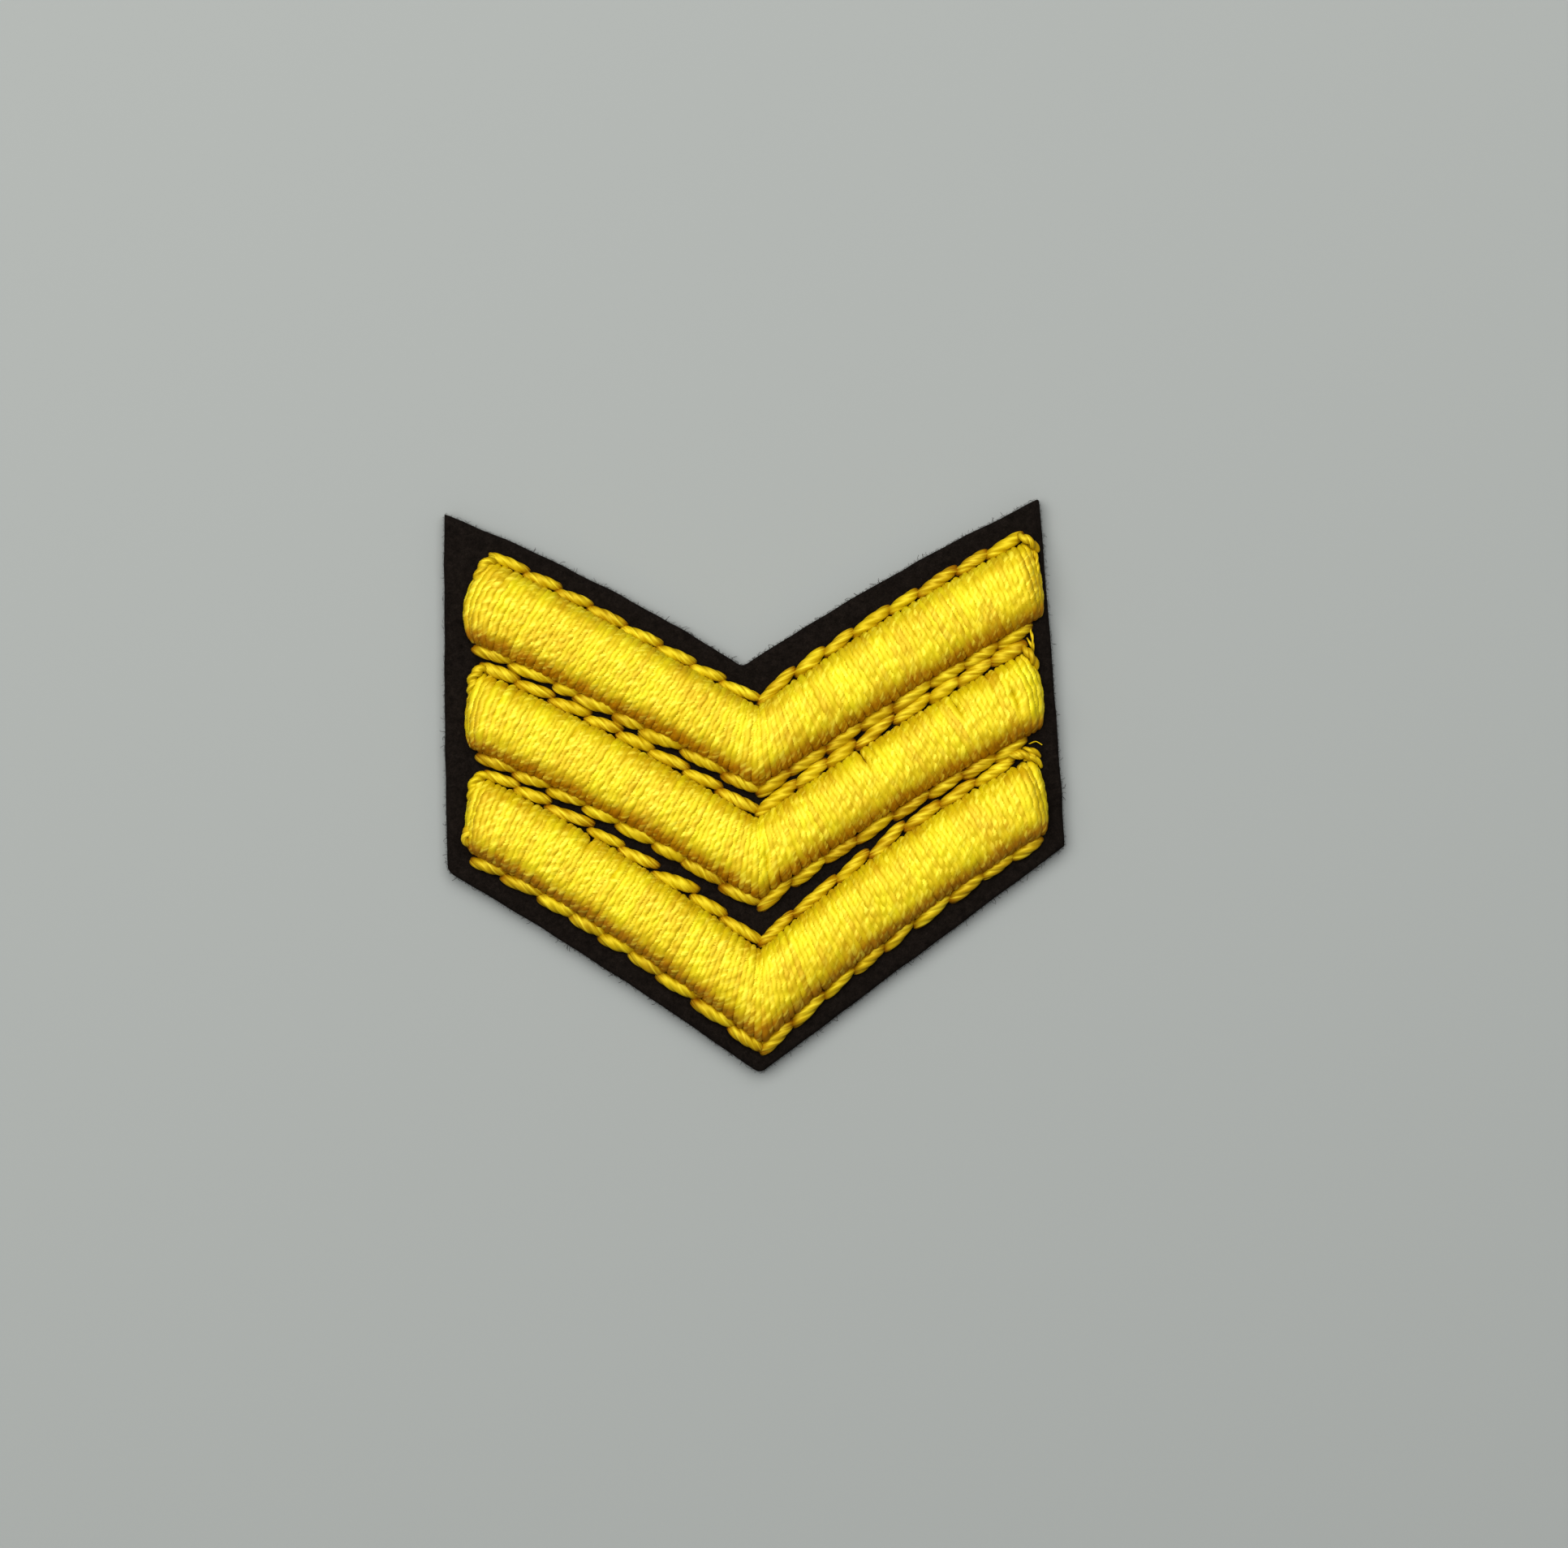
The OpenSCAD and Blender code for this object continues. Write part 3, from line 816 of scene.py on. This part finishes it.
def paddingMesh(k, material):
    steps, crownSteps = paddingLook["steps"], paddingLook["crownSteps"]
    straight, *closing = paddingLook["ends"]
    stations = [i / steps * straight for i in range(steps + 1)] + closing
    lines = [(-1, s) for s in reversed(stations[1:])] + [(1, s) for s in stations]
    across = [-math.cos(math.pi * j / crownSteps) for j in range(crownSteps + 1)]
    under = (0.5, -0.5)
    base = feltTop - paddingLook["sink"]
    vertices, faces = [], []
    for side, away in lines:
        top, foot, height, bulge = satinLine(k, side, away)
        inset = paddingLook["inset"] / (foot - top).length
        top, foot = top.lerp(foot, inset), foot.lerp(top, inset)
        high = height - paddingLook["below"] + paddingLook["sink"]
        vertices += [domePoint(top, foot, bulge, u, base, high) for u in across]
        vertices += [domePoint(top, foot, bulge, u, base, 0) for u in under]
    size = len(across) + len(under)
    for i in range(len(lines) - 1):
        for j in range(size):
            a, b = i * size + j, i * size + (j + 1) % size
            faces.append((a, b, b + size, a + size))
    last = (len(lines) - 1) * size
    faces += [tuple(range(size - 1, -1, -1)), tuple(range(last, last + size))]
    mesh = bpy.data.meshes.new(f"{chevronNames[k]}_padding")
    mesh.from_pydata([v * mm for v in vertices], [], faces)
    mesh.shade_smooth()
    mesh.materials.append(material)
    return mesh


threadTree = pliedThreadTree()
satinYarn = yarnMaterial("rayonSatinYarn", satinLook)
satinUnderlay = paddingMaterial()
satins, paddings = [], []
for k, name in enumerate(chevronNames):
    source = pathObject(f"{name}Paths", satinPaths(k, random.Random(40 + k)))
    values = {**satinThread, "Seed": 10 + k, "Material": satinYarn}
    satins.append(grownPiece(f"{name}_satin", source, threadTree, values))
    bpy.data.objects.remove(source)
    paddings.append(linkObject(f"{name}_padding", paddingMesh(k, satinUnderlay)))


# Outline rows: a stitch from needle hole to needle hole along each seam

rowLook = {
    # on the left and right arm of each row: stitches, share of the yarn's width, and mm up off its line
    "stitches": [(8, 8), (8, 8), (8, 8), (8, 8), (8, 7), (9, 9)],
    "girth": [(0.88, 1.0), (1.12, 1.16), (0.96, 1.08), (1.14, 1.08), (0.96, 0.98), (1.14, 1.06)],
    "drift": [(-0.12, 0.03), (0.12, -0.03), (0.06, 0.12), (0.09, -0.07), (0.04, 0), (0, 0.03)],
    "unevenGirth": 0.05,
    "unevenLength": 0.09,  # share of a stitch that its needle hole strays
    "skew": (8, 6),        # degrees that a stitch turns off its row on the left and right arm
    "unevenSkew": 2.5,
    "overlap": 0.04,       # share of a stitch that runs past its needle hole
    "sink": 0.35,          # mm that its ends go into the felt
    "lift": 0.2,           # mm from the felt up to the middle of its yarn
    "pathPoints": 13,
    "fullness": 3,         # of a stitch's arch, where 2 would be a half ellipse
    # its gold, as the satin's
    "dark": "#8e6204", "light": "#c8b616",
    "toneRange": (0.35, 0.65),
    "armShadeTone": (0, 0.08),  # painted shade: how much deeper it is painted on the left and right arm
    "endShadeTone": 0.6,        # painted shade: how much deeper it is painted where a stitch goes down into the felt
    "endShadeStart": 0.6,       # share of the way from a stitch's middle to its ends where that painted shade starts
    "patchSize": 2.0, "patchTone": 0.8,
    "roughness": 0.48, "lustre": 1.65, "lustreColour": "#fff570",
    "acrossGrain": 2.2, "alongGrain": 0.5, "grainDepth": 0.09,
    # painted highlight on the grain, as on the satin
    "paintedGlint": "#e2d448", "paintedGlintShare": 0.5, "paintedGlintBand": (0.5, 0.7),
}
rowThread = {
    "Width": 0.98 * mm, "Plies": 4, "Ply Spread": 0.55, "Twist Pitch": 4.4 * mm, "Pitch Variation": 0.2,
    "Wobble": 0.03 * mm, "Wobble Length": 1.5 * mm, "End Width": 0.34, "End Taper": 0.42,
    "Rings": 22, "Sides": 24,
}


def stitchPath(start, end, skew):
    # points of one stitch, and how far each is from its middle (0) to its ends (1)
    middle = (start + end) / 2
    run = Matrix.Rotation(math.radians(skew), 2) @ (end - start)
    sink, lift = rowLook["sink"], rowLook["lift"]
    points, bends = [], []
    for j in range(rowLook["pathPoints"]):
        bend = -math.cos(math.pi * j / (rowLook["pathPoints"] - 1))
        x, y = (middle + run * bend / 2 * (1 + rowLook["overlap"])) * grow
        arch = math.sqrt(max(0, 1 - abs(bend) ** rowLook["fullness"]))
        points.append(Vector((x, y, feltTop - sink + (sink + lift) * arch)))
        bends.append(abs(bend))
    return points, bends


def rowPaths(k, draw):
    seam = patch["seams"][k]
    endShadeStart = rowLook["endShadeStart"]
    paths = []
    for arm, side in enumerate((-1, 1)):
        count, girth, drift = (rowLook[key][k][arm] for key in ("stitches", "girth", "drift"))
        apex, end = seam[0][0], seam[2 + side][0]
        holes = [0] + [(i + draw.gauss(0, rowLook["unevenLength"])) / count for i in range(1, count)] + [1]
        # the drift comes in over the first quarter of the arm
        spots = [Vector((x, seamY(seam, x) + drift * smooth(4 * h)))
                 for h, x in ((h, mix(apex, end, h)) for h in holes)]
        if side < 0:
            spots.reverse()
        for start, finish in zip(spots, spots[1:]):
            skew = rowLook["skew"][arm] + draw.gauss(0, rowLook["unevenSkew"])
            points, bends = stitchPath(start, finish, skew)
            # painted shade: the right arm's stitches are painted deeper
            tone = mix(*rowLook["toneRange"], draw.random()) - rowLook["armShadeTone"][arm]
            # painted shade at the stitch's ends, where it goes down into the felt
            tones = [tone - rowLook["endShadeTone"] * smooth((b - endShadeStart) / (1 - endShadeStart)) for b in bends]
            paths.append((points, tones, girth * (1 + draw.gauss(0, rowLook["unevenGirth"]))))
    return paths


rowYarn = yarnMaterial("outlineYarn", rowLook)
rows = []
for k, name in enumerate(rowNames):
    source = pathObject(f"{name}Paths", rowPaths(k, random.Random(70 + k)))
    values = {**rowThread, "Seed": 30 + k, "Material": rowYarn}
    rows.append(grownPiece(f"{name}_stitches", source, threadTree, values))
    bpy.data.objects.remove(source)


# Loose threads: the one carried down from row to row at the right, with its knots, and those at the left

looseLook = {
    # each thread's share of the yarn's width, then its places: x, y and height above the felt in mm
    "threads": [
        # last stitch of the top row, over the corner of the satin
        (1.7, [(19.9, 17.3, -0.2), (20.35, 17.1, 0.7), (20.9, 16.7, 0.75), (21.35, 16.1, 0.2)]),
        (1.0, [(21.05, 16.3, 0.3), (21.2, 15.3, 0.85), (21.2, 14.3, 0.8), (21.15, 13.4, 0.3)]),
        # thread carried down from the first chevron to the second
        (0.6, [(20.45, 10.85, 0.1), (20.65, 10.1, 0.3), (20.7, 9.3, 0.35), (20.7, 8.8, 0.1)]),
        (0.5, [(20.3, 9.9, -0.1), (20.45, 9.6, 0.25), (20.6, 9.2, 0.25), (20.7, 8.9, 0.1)]),
        (1.7, [(19.9, 9.3, -0.1), (20.25, 8.9, 0.65), (20.6, 8.35, 0.75), (20.9, 7.6, 0.2)]),
        # knot between the second and the third, with a wisp
        (1.3, [(19.6, 1.75, -0.1), (20.0, 1.8, 0.45), (20.45, 1.6, 0.5), (20.85, 1.25, 0.1)]),
        (1.2, [(19.7, 1.1, 0.2), (20.15, 1.25, 0.6), (20.6, 1.0, 0.5), (20.95, 0.5, 0.1)]),
        (0.3, [(20.1, 2.2, 0), (20.6, 2.35, 0.3), (21.05, 2.1, 0.3)]),
        (1.9, [(18.4, 1.15, 0), (19.1, 1.45, 0.5), (19.8, 1.4, 0.6), (20.5, 1.15, 0.4)]),
        # round the upper left corner of each chevron
        (2.2, [(-17.6, 17.1, -0.1), (-18.25, 17.15, 0.5), (-18.85, 16.6, 0.7), (-19.25, 15.6, 0.7),
               (-19.65, 14.6, 0.5)]),
        (2.2, [(-18.7, 9.4, -0.1), (-19.35, 9.3, 0.5), (-19.85, 8.7, 0.65), (-19.98, 7.6, 0.6),
               (-20.1, 6.6, 0.4)]),
        (2.2, [(-19.0, 1.55, -0.1), (-19.8, 1.5, 0.45), (-20.2, 0.9, 0.6), (-20.28, -0.1, 0.6),
               (-20.35, -1.1, 0.4)]),
        # knob at the lower left end of the third
        (2.2, [(-20.1, -2.4, 0.5), (-20.6, -2.3, 0.95), (-20.85, -2.7, 0.9), (-20.65, -3.1, 0.8),
               (-20.2, -3.1, 0.5)]),
    ],
    "steps": 8,            # points from one place to the next
    "tones": (0.4, 0.5, 0.6, 0.7),         # of the threads in turn
}
looseThread = {
    "Width": 0.42 * mm, "Plies": 2, "Ply Spread": 0.5, "Twist Pitch": 1.8 * mm, "Pitch Variation": 0.2,
    "Wobble": 0.02 * mm, "Wobble Length": 1.2 * mm, "End Width": 0.6, "End Taper": 0.3,
    "Rings": 30, "Sides": 12,
}


def loosePaths():
    # smooth threads that pass through each of their places
    paths = []
    steps = looseLook["steps"]
    for number, (girth, places) in enumerate(looseLook["threads"]):
        spots = [Vector((x * grow, y * grow, z + feltTop)) for x, y, z in places]
        spots = [spots[0] * 2 - spots[1]] + spots + [spots[-1] * 2 - spots[-2]]
        points = []
        for a, b, c, d in zip(spots, spots[1:], spots[2:], spots[3:]):
            for t in (j / steps for j in range(steps)):
                points.append((b * 2 + (c - a) * t + (a * 2 - b * 5 + c * 4 - d) * t ** 2
                               + (b * 3 - a - c * 3 + d) * t ** 3) / 2)
        points.append(spots[-2])
        tones = looseLook["tones"]
        paths.append((points, [tones[number % len(tones)]] * len(points), girth))
    return paths


source = pathObject("loosePaths", loosePaths())
loose = grownPiece("loose_threads", source, threadTree, {**looseThread, "Seed": 50, "Material": rowYarn})
bpy.data.objects.remove(source)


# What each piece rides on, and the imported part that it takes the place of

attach(felt, "root")
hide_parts("felt_backing")
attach(fuzz, "root")
for name, satin, padding in zip(chevronNames, satins, paddings):
    for piece in (satin, padding):
        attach(piece, "root")
        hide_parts(f"{name}_chevron")
for name, row in zip(rowNames, rows):
    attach(row, "root")
    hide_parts(name)

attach(loose, "root")

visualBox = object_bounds()
sizes = {"cad": [list(corner) for corner in cadBox], "visual": [list(corner) for corner in visualBox]}
for key, box in sizes.items():
    print(f"{key} box in mm:", [[round(c / mm, 2) for c in corner] for corner in box])
